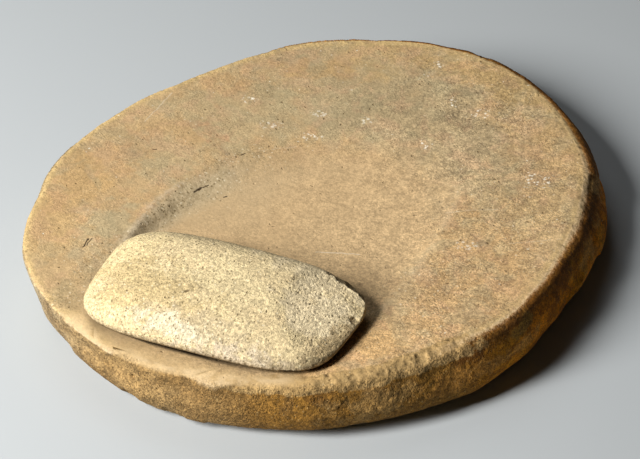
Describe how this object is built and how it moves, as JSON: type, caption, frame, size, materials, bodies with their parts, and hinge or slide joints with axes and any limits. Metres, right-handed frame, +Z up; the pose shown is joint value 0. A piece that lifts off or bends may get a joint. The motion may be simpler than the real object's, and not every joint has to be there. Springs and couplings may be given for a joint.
{
  "type": "saddle quern with handstone",
  "caption": "Dished saddle quern slab with a worn trough open to the front rim and a loaf-shaped handstone resting across it.",
  "frame": {"origin": "on the ground under the middle of the slab's footprint", "axes": "+Z up from the flat foot, +Y along the grinding stroke, away from the person grinding and from the handstone, +X to that person's right"},
  "size_m": [0.5108, 0.59, 0.0999],
  "materials": {
    "quern_slab": "pecked brown sandstone, worn smooth in the trough",
    "handstone": "pale yellow finely pitted sandstone"
  },
  "bodies": {
    "root": {"quern_slab": "quern_slab", "handstone": "handstone"}
  },
  "joints": []
}
